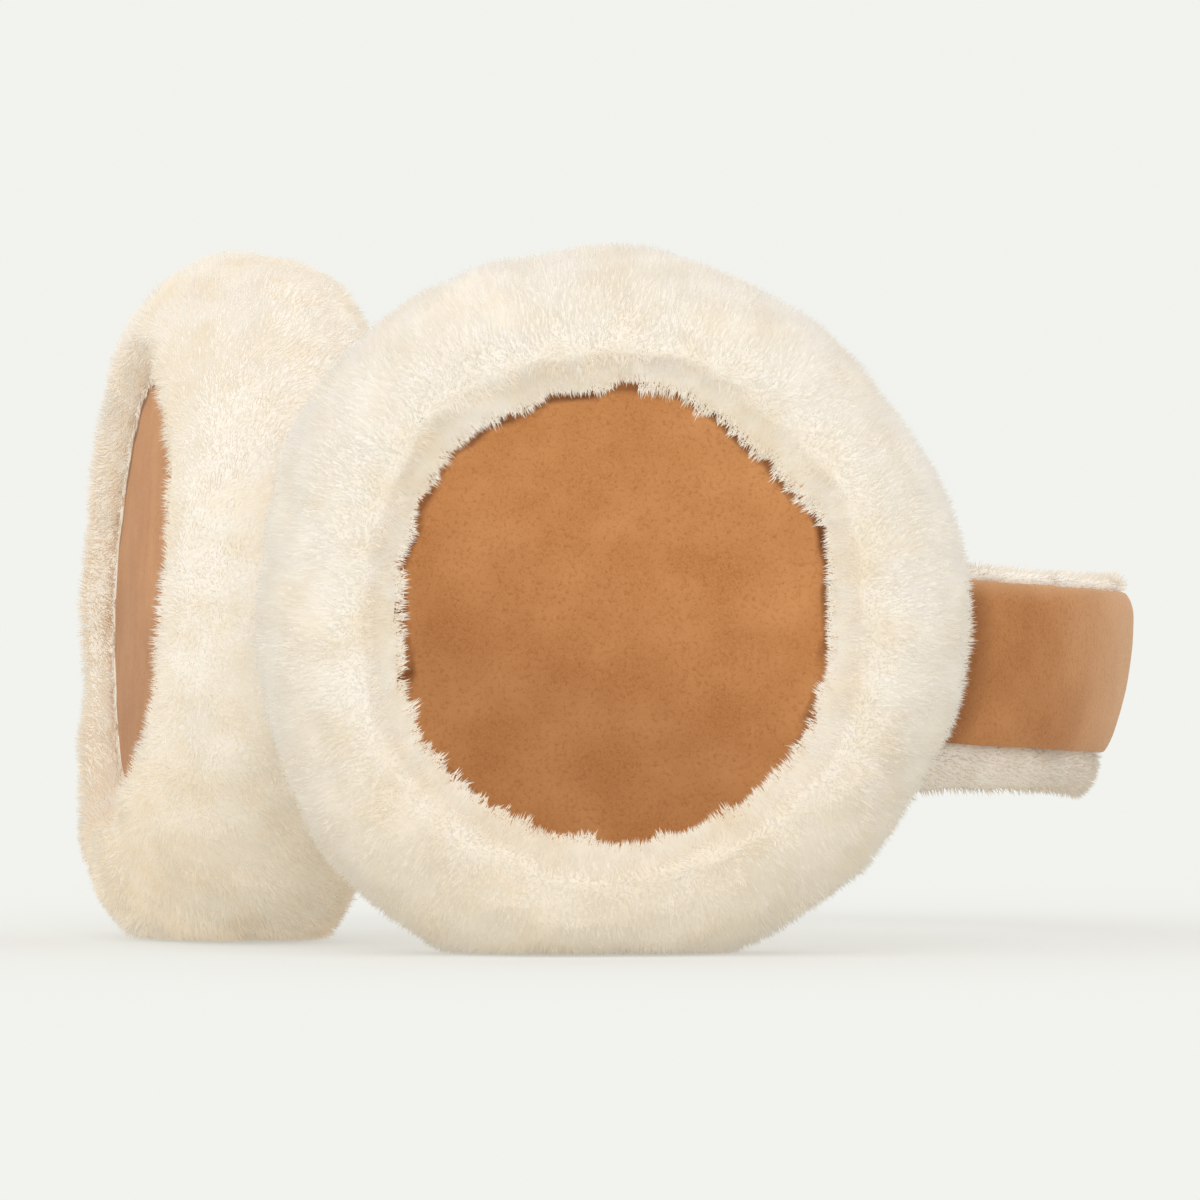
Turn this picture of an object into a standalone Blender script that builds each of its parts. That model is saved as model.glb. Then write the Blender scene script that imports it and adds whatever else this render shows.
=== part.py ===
"""Shearling earmuffs, as they lie on a table.

Two round fur ear cups with suede faces stand on their rims and press together at the chin side.
A sprung headband, suede outside and shearling inside, joins them. Its ends sit in pockets in the
fur. The near cup faces -Y, the headband leaves it towards +X, and the floor is z = 0. The origin is
the centre of the bounding box, on the floor. All sizes are in metres and all angles in degrees.
"""

import math

import bmesh
import bpy
from mathutils import Matrix, Vector

# Ear cups
CUP_DIAMETER = 0.108
ROLL_WIDTH = 0.034
FRONT_RISE = 0.018
EAR_RISE = 0.0215
STAND_HEIGHT = 0.052
FAR_CUP_LIFT = 0.002
FIT = 0.0003

# Suede faces of the cups
DISC_DIAMETER = 0.074
DISC_THICKNESS = 0.002
DISC_DOME = 0.0012
DISC_EDGE_DROP = 0.0004
DISC_RECESS = 0.0056
LIP_DIAMETER = 0.065
LIP_THICKNESS = 0.0007

# Relief of the fur
TUFT_DEPTH = 0.0008
TUFT_COUNT = 23
LUMP_HEIGHT = 0.0005

# Where the two cups stand to each other
FAR_CUP_YAW = 79.3
FAR_CUP_LEAN = 3.0
CHIN_PRESS = 0.0015
CHIN_LINE_ANGLE = 119.0

# Headband
BAND_WIDTH = 0.025
BAND_THICKNESS = 0.002
BAND_CROWN = 0.0014
BAND_LEAN = 8.0
LINING_THICKNESS = 0.0065
LINING_TOP_MARGIN = 0.0026
LINING_BOTTOM_MARGIN = 0.0078
LINING_EDGE_DROP = 0.0009
BAND_INSET = 0.0114
LOOP_DEPTH = 0.0975
NEAR_END_DROP = 0.0070
FAR_END_DROP = 0.0039
LOOP_SAG = 0.0052

# Fineness of the meshes
CUP_STEPS = 64
DISC_STEPS = 48
DISC_RINGS = (0.35, 0.7, 0.9, 1.0)
BAND_STEPS = 44
SHARP_ANGLE = 50.0
SAME_POINT = 1e-7

SUEDE_COLOUR = (0.48, 0.20, 0.075, 1.0)
FUR_COLOUR = (0.88, 0.78, 0.63, 1.0)

# Front of the roll, from the lip round the suede to the rim.
# across: share of the way from the lip to the rim; rise: share of FRONT_RISE.
ROLL_FRONT = (
    # name             across  rise
    ("lip wall",       0.03,   0.86),
    ("inner shoulder", 0.12,   0.95),
    ("crest",          0.32,   1.00),
    ("outer shoulder", 0.60,   0.90),
    ("flank",          0.80,   0.68),
    ("upper rim",      0.93,   0.40),
    ("rim",            1.00,   0.04),
)

# Ear side, from the rim to the middle. out: share of the rim's radius; rise: share of EAR_RISE.
EAR_SIDE = (
    # name             out    rise
    ("lower rim",      0.985, 0.42),
    ("ear flank",      0.93,  0.75),
    ("ear shoulder",   0.82,  0.93),
    ("ear crest",      0.66,  1.00),
    ("pad",            0.48,  1.00),
    ("dimple edge",    0.30,  0.95),
    ("dimple",         0.15,  0.87),
)
DIMPLE_FLOOR = 0.84

# Outline of each cup by clock angle, counted from its own right as seen from outside, upwards.
# rim: share of the cup's radius; lip: share of the lip's radius; front, ear: shares of the rises.
NEAR_OUTLINE = (
    # clock  rim    lip    front  ear
    (5,      1.006, 0.958, 1.00,  1.00),
    (22,     0.983, 1.005, 0.98,  1.00),
    (38,     0.984, 0.957, 0.96,  1.00),
    (54,     1.000, 0.962, 1.00,  1.00),
    (74,     1.004, 1.022, 1.00,  1.00),
    (95,     1.028, 0.992, 1.02,  1.00),
    (119,    1.055, 0.990, 1.02,  1.00),
    (136,    1.055, 1.012, 1.00,  1.00),
    (154,    1.022, 0.966, 1.00,  1.00),
    (175,    0.998, 0.955, 0.98,  0.98),
    (193,    1.026, 0.935, 1.00,  0.98),
    (212,    1.046, 1.035, 1.00,  1.00),
    (233,    1.068, 1.070, 1.03,  1.00),
    (250,    1.072, 1.038, 1.05,  1.04),
    (268,    1.050, 1.030, 1.05,  1.10),
    (287,    1.025, 1.034, 1.05,  1.14),
    (305,    1.004, 1.066, 1.02,  1.08),
    (325,    1.008, 1.012, 1.00,  1.00),
    (345,    1.014, 0.975, 1.00,  1.00),
)
FAR_OUTLINE = (
    # clock  rim    lip    front  ear
    (0,      0.995, 0.980, 0.98,  0.96),
    (30,     0.985, 1.000, 0.96,  0.90),
    (60,     0.983, 0.970, 0.97,  0.87),
    (90,     0.985, 0.990, 0.98,  0.88),
    (120,    0.990, 0.970, 0.98,  0.93),
    (150,    0.990, 0.965, 1.00,  1.00),
    (180,    0.990, 0.990, 1.00,  1.00),
    (210,    1.010, 0.970, 1.02,  1.04),
    (238,    1.075, 1.000, 1.06,  1.12),
    (260,    1.090, 0.965, 1.12,  1.12),
    (285,    1.080, 0.940, 1.14,  1.04),
    (305,    1.040, 0.960, 1.10,  0.94),
    (330,    1.005, 1.000, 1.02,  0.94),
)

# Hollows and clefts in the front of the roll. across as in ROLL_FRONT; spread: half width in
# degrees; reach: half width across; depth: share of FRONT_RISE.
NEAR_DENTS = (
    # name                clock  across spread reach depth
    ("left cleft",        182,   0.02,  4,     0.20, 0.10),
    ("lower left cleft",  199,   0.05,  5,     0.30, 0.13),
    ("right cleft",       333,   0.00,  4,     0.16, 0.09),
    ("upper hollow",      44,    0.30,  13,    0.30, 0.08),
    ("top hollow",        76,    0.12,  8,     0.22, 0.05),
    ("lower hollow",      283,   0.55,  16,    0.40, 0.05),
)
FAR_DENTS = (
    # name                clock  across spread reach depth
    ("lower fold",        288,   0.25,  5,     0.50, 0.16),
    ("upper fold",        70,    0.15,  7,     0.30, 0.08),
    ("band side hollow",  205,   0.40,  12,    0.35, 0.06),
)

# Cross-section of the lining, from the groove's lower corner round the ear side to its upper corner.
# side: -1 is the lower edge, 1 the upper; margin: share of that edge's margin beyond the suede;
# deep: share of the way from the edge's puffed top to the lining's inner face.
LINING_SECTION = (
    # name            side  margin deep
    ("lower puff",    -1,   0.45,  0.00),
    ("lower edge",    -1,   0.90,  0.18),
    ("lower bulge",   -1,   1.00,  0.42),
    ("lower turn",    -1,   0.80,  0.72),
    ("lower inside",  -1,   0.10,  0.94),
    ("upper inside",  1,    -0.60, 0.97),
    ("upper turn",    1,    0.40,  0.76),
    ("upper bulge",   1,    1.00,  0.42),
    ("upper edge",    1,    0.85,  0.14),
    ("upper puff",    1,    0.40,  0.00),
)

# Cross-section of the suede strip's outer face. across: share of half its width; crown: share of
# BAND_CROWN above the edge line.
SUEDE_SECTION = (
    # across crown
    (-1.00,  -0.10),
    (-0.95,  0.10),
    (-0.72,  0.50),
    (-0.38,  0.86),
    (0.00,   1.00),
    (0.38,   0.86),
    (0.72,   0.50),
    (0.95,   0.06),
    (1.00,   -0.16),
)

CUP_RADIUS = CUP_DIAMETER / 2
ROLL_CENTRE = CUP_RADIUS - ROLL_WIDTH / 2
DISC_RADIUS = DISC_DIAMETER / 2
DISC_LEVEL = FRONT_RISE - DISC_RECESS
POCKET_FLOOR = DISC_LEVEL - DISC_THICKNESS - FIT


def empty_scene():
    """Removes whatever the file holds."""
    for old in list(bpy.data.objects):
        bpy.data.objects.remove(old)


def finish(name, colour, roughness):
    """A plain material of one colour."""
    material = bpy.data.materials.new(name)
    material.use_nodes = True
    shader = material.node_tree.nodes["Principled BSDF"]
    shader.inputs["Base Color"].default_value = colour
    shader.inputs["Roughness"].default_value = roughness
    shader.inputs["Metallic"].default_value = 0.0
    return material


def around(rows, clock, column):
    """The value of a table's column at a clock angle, on a smooth closed curve through its rows."""
    clock %= 360
    count = len(rows)
    after = next((i for i, row in enumerate(rows) if row[0] > clock), count)
    picked = [rows[(after + step) % count] for step in (-2, -1, 0, 1)]
    start = picked[1][0]
    span = (picked[2][0] - start) % 360
    t = ((clock - start) % 360) / span
    a, b, c, d = (row[column] for row in picked)
    return b + 0.5 * t * (c - a + t * (2 * a - 5 * b + 4 * c - d + t * (3 * (b - c) + d - a)))


def dome(radius):
    """Height of a suede face's outside above the cup's middle plane."""
    share = min(1.0, radius / DISC_RADIUS)
    return DISC_LEVEL + DISC_DOME * (1 - share * share)


def dent_depth(dents, clock, across):
    """How far the dents sink the front of the roll at one place."""
    depth = 0.0
    for _, at, place, spread, reach, share in dents:
        turn = (clock - at + 180) % 360 - 180
        depth += share * FRONT_RISE * math.exp(-((turn / spread) ** 2) - ((across - place) / reach) ** 2)
    return depth


def lump(clock, place, phase):
    """Shallow unevenness of the fur, as a height."""
    turn = math.radians(clock)
    wave = math.sin(5 * turn + phase) * math.sin(7 * place + 2 * phase)
    wave += 0.7 * math.sin(11 * turn - 2 * phase + 5 * place)
    return LUMP_HEIGHT * wave


def tuft(clock, phase):
    """How far the tufts of fur at the lip reach over the suede."""
    turn = math.radians(clock)
    wave = math.sin(TUFT_COUNT * turn + 0.9 * math.sin(5 * turn + phase))
    return TUFT_DEPTH * (0.5 + 0.5 * wave)


def cup_section(outline, dents, phase, clock):
    """Points (radius, height) of the fur at one clock angle, from the pocket's edge to the dimple."""
    rim = CUP_RADIUS * around(outline, clock, 1)
    lip = LIP_DIAMETER / 2 * around(outline, clock, 2) - tuft(clock, phase)
    front = FRONT_RISE * around(outline, clock, 3)
    ear = EAR_RISE * around(outline, clock, 4)
    pocket = DISC_RADIUS + FIT
    under = dome(lip) + FIT
    points = [
        (pocket / 2, POCKET_FLOOR),
        (pocket, POCKET_FLOOR),
        (pocket, DISC_LEVEL + FIT),
        (lip + LIP_THICKNESS, under),
        (lip, under + LIP_THICKNESS),
    ]
    for _, across, rise in ROLL_FRONT:
        swell = lump(clock, across, phase) - dent_depth(dents, clock, across)
        points.append((lip + (rim - lip) * across + swell * across, front * rise + swell * rise))
    for _, out, rise in EAR_SIDE:
        swell = lump(clock, 2 - out, phase) * out * out
        depth = EAR_RISE + (ear - EAR_RISE) * out * out
        reach = (CUP_RADIUS + (rim - CUP_RADIUS) * out) * out
        points.append((reach + swell, -depth * rise - swell * (1 - out)))
    return points


def close_with_poles(bm, rings, first, last):
    """Skins rings of vertices into one closed body between two poles."""
    count = len(rings[0])
    for near, far in zip(rings, rings[1:]):
        for i in range(count):
            j = (i + 1) % count
            bm.faces.new((near[i], far[i], far[j], near[j]))
    for pole, ring, flip in ((first, rings[0], False), (last, rings[-1], True)):
        for i in range(count):
            j = (i + 1) % count
            bm.faces.new((pole, ring[j], ring[i]) if flip else (pole, ring[i], ring[j]))


def press_flat(bm, point, outward):
    """Cuts off what lies past a plane and closes the body with one flat face."""
    everything = bm.verts[:] + bm.edges[:] + bm.faces[:]
    cut = bmesh.ops.bisect_plane(
        bm, geom=everything, dist=SAME_POINT, plane_co=point, plane_no=outward, clear_outer=True
    )
    edges = [part for part in cut["geom_cut"] if isinstance(part, bmesh.types.BMEdge)]
    if edges:
        bmesh.ops.contextual_create(bm, geom=edges)


def mesh_object(name, bm, material, parent=None, place=None):
    """Turns a bmesh into a named object with its faces pointing out."""
    bmesh.ops.recalc_face_normals(bm, faces=bm.faces[:])
    mesh = bpy.data.meshes.new(name)
    bm.to_mesh(mesh)
    bm.free()
    mesh.shade_smooth()
    mesh.set_sharp_from_angle(angle=math.radians(SHARP_ANGLE))
    mesh.materials.append(material)
    made = bpy.data.objects.new(name, mesh)
    bpy.context.scene.collection.objects.link(made)
    made.parent = parent
    if place is not None:
        made.matrix_world = place
    return made


def cup_fur(name, empty, outline, dents, phase, pressed, material):
    """The fur of one ear cup: roll, lip and ear side, pressed flat by the planes it rests against."""
    bm = bmesh.new()
    rings = None
    for step in range(CUP_STEPS):
        clock = 360 * step / CUP_STEPS
        turn = math.radians(clock)
        section = cup_section(outline, dents, phase, clock)
        rings = rings or [[] for _ in section]
        for ring, (radius, height) in zip(rings, section):
            ring.append(bm.verts.new((radius * math.cos(turn), radius * math.sin(turn), height)))
    first = bm.verts.new((0, 0, POCKET_FLOOR))
    last = bm.verts.new((0, 0, -EAR_RISE * DIMPLE_FLOOR))
    close_with_poles(bm, rings, first, last)
    to_local = empty.matrix_world.inverted()
    for point, outward in pressed:
        press_flat(bm, to_local @ point, to_local.to_3x3() @ outward)
    return mesh_object(name, bm, material, empty)


def cup_disc(name, empty, material):
    """The round suede face of one ear cup, gently domed."""
    rounded = DISC_RADIUS - DISC_EDGE_DROP
    front = [(rounded * share, dome(rounded * share)) for share in DISC_RINGS]
    edge = [(DISC_RADIUS, DISC_LEVEL - DISC_EDGE_DROP), (DISC_RADIUS, DISC_LEVEL - DISC_THICKNESS)]
    bm = bmesh.new()
    rings = []
    for radius, height in front + edge:
        turns = [2 * math.pi * step / DISC_STEPS for step in range(DISC_STEPS)]
        rings.append([bm.verts.new((radius * math.cos(t), radius * math.sin(t), height)) for t in turns])
    first = bm.verts.new((0, 0, dome(0)))
    last = bm.verts.new((0, 0, DISC_LEVEL - DISC_THICKNESS))
    close_with_poles(bm, rings, first, last)
    return mesh_object(name, bm, material, empty)


def cup_empty(name, centre, outward, lean):
    """An empty at a cup's centre: local Z points out of its suede face and local Y up."""
    out = Vector(outward).normalized()
    up = Vector((0, 0, 1))
    across = up.cross(out)
    place = Matrix((across, up, out)).transposed().to_4x4()
    empty = bpy.data.objects.new(name, None)
    bpy.context.scene.collection.objects.link(empty)
    empty.matrix_world = Matrix.Translation(centre) @ place @ Matrix.Rotation(-math.radians(lean), 4, "X")
    bpy.context.view_layer.update()
    return empty


def flat_direction(degrees):
    """A level unit vector, counted from +X towards +Y."""
    return Vector((math.cos(math.radians(degrees)), math.sin(math.radians(degrees)), 0))


class Loop:
    """The circle arc that the headband's suede follows, in its own slightly sagging plane.

    The strip's upper edge leans outwards, most at the crown and not at all at the cups.
    """

    def __init__(self, near_end, far_end, crown_side):
        middle = (near_end + far_end) / 2
        self.along = (far_end - near_end).normalized()
        level = (crown_side - crown_side.dot(self.along) * self.along).normalized()
        crown = middle + LOOP_DEPTH * level - Vector((0, 0, LOOP_SAG))
        towards = crown - middle
        towards -= towards.dot(self.along) * self.along
        self.towards = towards.normalized()
        self.up = self.towards.cross(self.along)
        half = (far_end - near_end).length / 2
        rise = towards.length
        self.radius = (half * half + rise * rise) / (2 * rise)
        self.centre = middle + (rise - self.radius) * self.towards
        self.half_turn = math.acos((self.radius - rise) / self.radius)

    def share_of(self, length):
        """A length along the arc as a share of the whole arc."""
        return length / (2 * self.half_turn * self.radius)

    def frame(self, share):
        """(point, outward, up) at a share of the arc, from the near end to the far end."""
        turn = (2 * share - 1) * self.half_turn
        outward = math.cos(turn) * self.towards + math.sin(turn) * self.along
        lean = math.radians(BAND_LEAN) * math.sin(math.pi * share)
        leaning = math.cos(lean) * self.up + math.sin(lean) * outward
        facing = math.cos(lean) * outward - math.sin(lean) * self.up
        return self.centre + self.radius * outward, facing, leaning


def suede_face(behind):
    """(outward, up) points across the suede strip's outer face, or as far behind it as asked."""
    half = BAND_WIDTH / 2
    return [(BAND_CROWN * crown - behind, half * across) for across, crown in SUEDE_SECTION]


def suede_profile(_share):
    """(outward, up) points of the suede strip's cross-section."""
    return suede_face(0) + suede_face(BAND_THICKNESS)[::-1]


def lining_profile(share):
    """(outward, up) points of the lining's cross-section: a groove for the suede between puffed edges."""
    wall = BAND_WIDTH / 2 + FIT
    top = -LINING_EDGE_DROP
    depth = LINING_THICKNESS + BAND_THICKNESS - LINING_EDGE_DROP
    margins = {-1: LINING_BOTTOM_MARGIN, 1: LINING_TOP_MARGIN}
    wave = LUMP_HEIGHT * math.sin(40 * share) * math.sin(17 * share + 1)
    groove = suede_face(BAND_THICKNESS + FIT)
    points = [(groove[0][0], -wall), (top, -wall)]
    for _, side, margin, deep in LINING_SECTION:
        beyond = (margins[side] + wave) * margin
        points.append((top - depth * deep, side * (wall + beyond)))
    return points + [(top, wall), (groove[-1][0], wall)] + groove[1:-1][::-1]


def pocket_profile(share):
    """(outward, up) points round the whole headband, FIT away from it."""
    shell = lining_profile(share)[1 : len(LINING_SECTION) + 3]
    points = suede_face(0) + shell[::-1]
    pushed = []
    for i, (out, rise) in enumerate(points):
        before = Vector(points[i - 1])
        after = Vector(points[(i + 1) % len(points)])
        here = Vector((out, rise))
        first = (here - before).normalized()
        second = (after - here).normalized()
        side = (first + second).normalized()
        stretch = FIT / max(0.5, side.dot(first))
        pushed.append((out + side.y * stretch, rise - side.x * stretch))
    return pushed


def swept(name, loop, profile, material, start=0.0, end=1.0, steps=BAND_STEPS):
    """A closed solid along the headband's arc."""
    bm = bmesh.new()
    rings = []
    for step in range(steps + 1):
        share = start + (end - start) * step / steps
        point, outward, up = loop.frame(share)
        rings.append([bm.verts.new(point + out * outward + rise * up) for out, rise in profile(share)])
    count = len(rings[0])
    for near, far in zip(rings, rings[1:]):
        for i in range(count):
            j = (i + 1) % count
            bm.faces.new((near[i], near[j], far[j], far[i]))
    bm.faces.new(rings[0])
    bm.faces.new(rings[-1])
    return mesh_object(name, bm, material)


def cut_pocket(fur, loop, near, material):
    """Cuts the pocket for one end of the headband into a cup's fur."""
    end = loop.share_of(FIT)
    reach = loop.share_of(2 * BAND_INSET + ROLL_WIDTH)
    span = (-end, reach) if near else (1 - reach, 1 + end)
    cutter = swept(fur.name + "_pocket", loop, pocket_profile, material, *span, BAND_STEPS // 4)
    cutter.hide_render = True
    cutter.display_type = "WIRE"
    cut = fur.modifiers.new("headband pocket", "BOOLEAN")
    cut.operation = "DIFFERENCE"
    cut.solver = "EXACT"
    cut.object = cutter


def centre_on_floor(parts):
    """Moves everything so that the origin is the bounding box's centre, on the floor."""
    bpy.context.view_layer.update()
    points = [part.matrix_world @ vertex.co for part in parts for vertex in part.data.vertices]
    middle = [(min(p[i] for p in points) + max(p[i] for p in points)) / 2 for i in range(2)]
    shift = Matrix.Translation((-middle[0], -middle[1], 0))
    for top in [thing for thing in bpy.data.objects if thing.parent is None]:
        top.matrix_world = shift @ top.matrix_world


def main():
    """Builds the earmuffs."""
    empty_scene()
    suede = finish("tan suede", SUEDE_COLOUR, 0.95)
    fur = finish("cream shearling", FUR_COLOUR, 1.0)

    near_out = Vector((0, -1, 0))
    near_along = Vector((1, 0, 0))
    far_out = Matrix.Rotation(-math.radians(FAR_CUP_YAW), 3, "Z") @ near_out
    far_along = Vector((0, 0, 1)).cross(far_out) * -1
    near_centre = Vector((0, 0, STAND_HEIGHT))
    near_chin = near_centre - ROLL_CENTRE * near_along
    chin_line = flat_direction(CHIN_LINE_ANGLE)
    far_chin = near_chin + (ROLL_WIDTH - CHIN_PRESS) * chin_line
    far_centre = far_chin + ROLL_CENTRE * far_along
    far_centre.z = STAND_HEIGHT + FAR_CUP_LIFT
    between = (near_chin + far_chin) / 2
    floor = (Vector((0, 0, 0)), Vector((0, 0, -1)))

    near_cup = cup_empty("near_cup", near_centre, near_out, 0)
    far_cup = cup_empty("far_cup", far_centre, far_out, FAR_CUP_LEAN)
    near_press = (between - FIT / 2 * chin_line, chin_line)
    far_press = (between + FIT / 2 * chin_line, -chin_line)
    near_fur = cup_fur("near_cup_fur", near_cup, NEAR_OUTLINE, NEAR_DENTS, 0.4, (floor, near_press), fur)
    far_fur = cup_fur("far_cup_fur", far_cup, FAR_OUTLINE, FAR_DENTS, 2.1, (floor, far_press), fur)
    near_disc = cup_disc("near_cup_disc", near_cup, suede)
    far_disc = cup_disc("far_cup_disc", far_cup, suede)

    inset = CUP_RADIUS - BAND_INSET
    near_end = near_centre + inset * near_along - Vector((0, 0, NEAR_END_DROP))
    far_end = far_centre + inset * far_along - Vector((0, 0, FAR_END_DROP))
    loop = Loop(near_end, far_end, near_along + far_along)
    band = swept("headband_suede", loop, suede_profile, suede)
    lining = swept("headband_lining", loop, lining_profile, fur)
    cut_pocket(near_fur, loop, True, fur)
    cut_pocket(far_fur, loop, False, fur)
    centre_on_floor([near_fur, far_fur, near_disc, far_disc, band, lining])


main()
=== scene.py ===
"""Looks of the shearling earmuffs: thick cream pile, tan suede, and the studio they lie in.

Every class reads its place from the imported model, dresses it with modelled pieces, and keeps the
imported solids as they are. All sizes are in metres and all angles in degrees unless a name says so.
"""

import logging
import math
from dataclasses import dataclass, field
from enum import Enum

import bmesh
import bpy
import numpy as np
from mathutils import Matrix, Vector, noise
from mathutils.bvhtree import BVHTree
from mathutils.kdtree import KDTree


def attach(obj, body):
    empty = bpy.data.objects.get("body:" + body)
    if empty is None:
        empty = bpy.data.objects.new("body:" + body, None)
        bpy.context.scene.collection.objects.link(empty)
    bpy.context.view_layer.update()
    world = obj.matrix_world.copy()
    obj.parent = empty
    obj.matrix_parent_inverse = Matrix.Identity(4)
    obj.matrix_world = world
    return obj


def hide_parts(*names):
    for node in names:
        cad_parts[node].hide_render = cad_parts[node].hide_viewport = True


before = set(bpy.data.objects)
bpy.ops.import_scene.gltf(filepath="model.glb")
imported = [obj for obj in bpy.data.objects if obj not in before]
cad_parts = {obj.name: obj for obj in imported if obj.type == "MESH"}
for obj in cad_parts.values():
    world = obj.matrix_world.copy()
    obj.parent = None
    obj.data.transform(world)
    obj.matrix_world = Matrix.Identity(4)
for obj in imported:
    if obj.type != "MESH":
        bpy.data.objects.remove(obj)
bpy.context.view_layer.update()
BODY = "root"
BAND = ("headband_suede", "headband_lining")
NOISE_SEED = 4
MM = 0.001
CUP_DEPTH = 12 * MM
NEAR_CLEFTS = (179.5, 197.0, 333.0)
GUIDES = ("cover", "comb", "reach", "nap")
LOG = logging.getLogger("earmuffs")

Array = np.ndarray
Arrays = dict[str, np.ndarray]
Colour = tuple[float, float, float]
Material = bpy.types.Material
Mesh = bpy.types.Mesh
Node = bpy.types.Node
Socket = bpy.types.NodeSocket
Sources = dict[str, bpy.types.NodeSocket]


class Slot(Enum):
    """The record's material slots."""

    SHEARLING = "shearling"
    SUEDE = "suede"


class Region(Enum):
    """Where on its piece a pile grows."""

    ALL = "all over"
    OUTER = "the cup's half away from the head"
    INNER = "the cup's half towards the head"
    LIP = "a narrow ring round the suede face"


def unit(vectors: Array) -> Array:
    """The vectors scaled to length one, in rows."""
    lengths = np.linalg.norm(vectors, axis=-1, keepdims=True)
    return vectors / np.maximum(lengths, 1e-12)


def smooth_step(values: Array, low: float, high: float) -> Array:
    """A soft step from 0 at low to 1 at high, either way round."""
    share = np.clip((values - low) / (high - low), 0.0, 1.0)
    return share * share * (3 - 2 * share)


def grain(points: Array, size: float, offset: float = 0.0) -> Array:
    """Smooth noise at points, about -1 to 1, with bumps of the size given."""
    shift = Vector((offset, 2 * offset, -offset))
    return np.array([noise.noise(Vector(p) / size + shift) for p in points])


def drift(points: Array, size: float, offset: float = 0.0) -> Array:
    """Smooth vector noise at points, with bumps of the size given."""
    shift = Vector((offset, -offset, 2 * offset))
    return np.array([noise.noise_vector(Vector(p) / size + shift) for p in points])


def rows_of(data: bpy.types.bpy_prop_collection, name: str, width: int = 3) -> Array:
    """Reads one property of every item of a collection, such as a mesh's vertices.

    Args:
        data: The collection.
        name: The property's name.
        width: How many numbers the property holds.

    Returns:
        One row for each item.
    """
    found = np.empty(len(data) * width, np.float32)
    data.foreach_get(name, found)
    return found.reshape(-1, width)


def positions(mesh: Mesh) -> Array:
    """The mesh's vertices as one row each."""
    return rows_of(mesh.vertices, "co").astype(float)


def normals(mesh: Mesh) -> Array:
    """The mesh's vertex normals as one row each."""
    return rows_of(mesh.vertex_normals, "vector").astype(float)


def move_to(mesh: Mesh, points: Array) -> None:
    """Puts the mesh's vertices at the points given."""
    mesh.vertices.foreach_set("co", points.astype(np.float32).ravel())
    mesh.update()


def write_attribute(mesh: Mesh, name: str, values: Array) -> None:
    """Stores a number or a vector for each vertex.

    Args:
        mesh: The mesh that gets the attribute.
        name: The attribute's name.
        values: One number or one vector for each vertex.
    """
    is_vector = values.ndim == 2
    kind = "FLOAT_VECTOR" if is_vector else "FLOAT"
    layer = mesh.attributes.new(name, kind, "POINT")
    layer.data.foreach_set("vector" if is_vector else "value", values.astype(np.float32).ravel())


def drop_attributes(mesh: Mesh, names: tuple[str, ...]) -> None:
    """Removes those of the named attributes that the mesh has."""
    for name in names:
        if name in mesh.attributes:
            mesh.attributes.remove(mesh.attributes[name])


def linked(name: str, mesh: Mesh) -> bpy.types.Object:
    """An object at the origin that shows the mesh."""
    made = bpy.data.objects.new(name, mesh)
    bpy.context.scene.collection.objects.link(made)
    return made


def evaluated_mesh(thing: bpy.types.Object) -> Mesh:
    """The object's mesh with its modifiers applied, as a plain mesh of its own."""
    graph = bpy.context.evaluated_depsgraph_get()
    graph.update()
    return bpy.data.meshes.new_from_object(
        thing.evaluated_get(graph), preserve_all_data_layers=True, depsgraph=graph
    )


def node_points(node: str) -> Array:
    """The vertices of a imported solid, in the row's frame."""
    return positions(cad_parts[node].data)


def welded_solids(nodes: tuple[str, ...]) -> bmesh.types.BMesh:
    """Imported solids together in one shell, the corners of their loose triangles merged.

    Args:
        nodes: The solids' nodes.

    Returns:
        The shell, which the caller frees.
    """
    shell = bmesh.new()
    for node in nodes:
        shell.from_mesh(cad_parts[node].data)
    bmesh.ops.remove_doubles(shell, verts=shell.verts, dist=0.001 * MM)
    return shell


def node_tree(node: str) -> BVHTree:
    """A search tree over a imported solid's faces."""
    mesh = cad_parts[node].data
    return BVHTree.FromPolygons([v.co for v in mesh.vertices], [p.vertices for p in mesh.polygons])


def gap_to(node: str, points: Array, far: float) -> Array:
    """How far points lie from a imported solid.

    Args:
        node: The solid's node.
        points: One point in each row.
        far: The largest gap that matters.

    Returns:
        The gap for each point, far where it is larger.
    """
    tree = node_tree(node)
    gaps = [tree.find_nearest(Vector(p), far)[3] for p in points]
    return np.array([far if gap is None else gap for gap in gaps])


def dress(piece: bpy.types.Object, material: Material) -> None:
    """Gives a finished piece its material and the body it rides on.

    Args:
        piece: The finished piece.
        material: The material that shows.
    """
    piece.data.materials.clear()
    piece.data.materials.append(material)
    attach(piece, BODY)
    triangles = sum(len(face.vertices) - 2 for face in piece.data.polygons)
    LOG.info("%s: %d triangles", piece.name, triangles)


def set_inputs(node: Node, values: dict[str, object]) -> None:
    """Sets constants on a node's inputs, by their names."""
    for name, value in values.items():
        node.inputs[name].default_value = value


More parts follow.
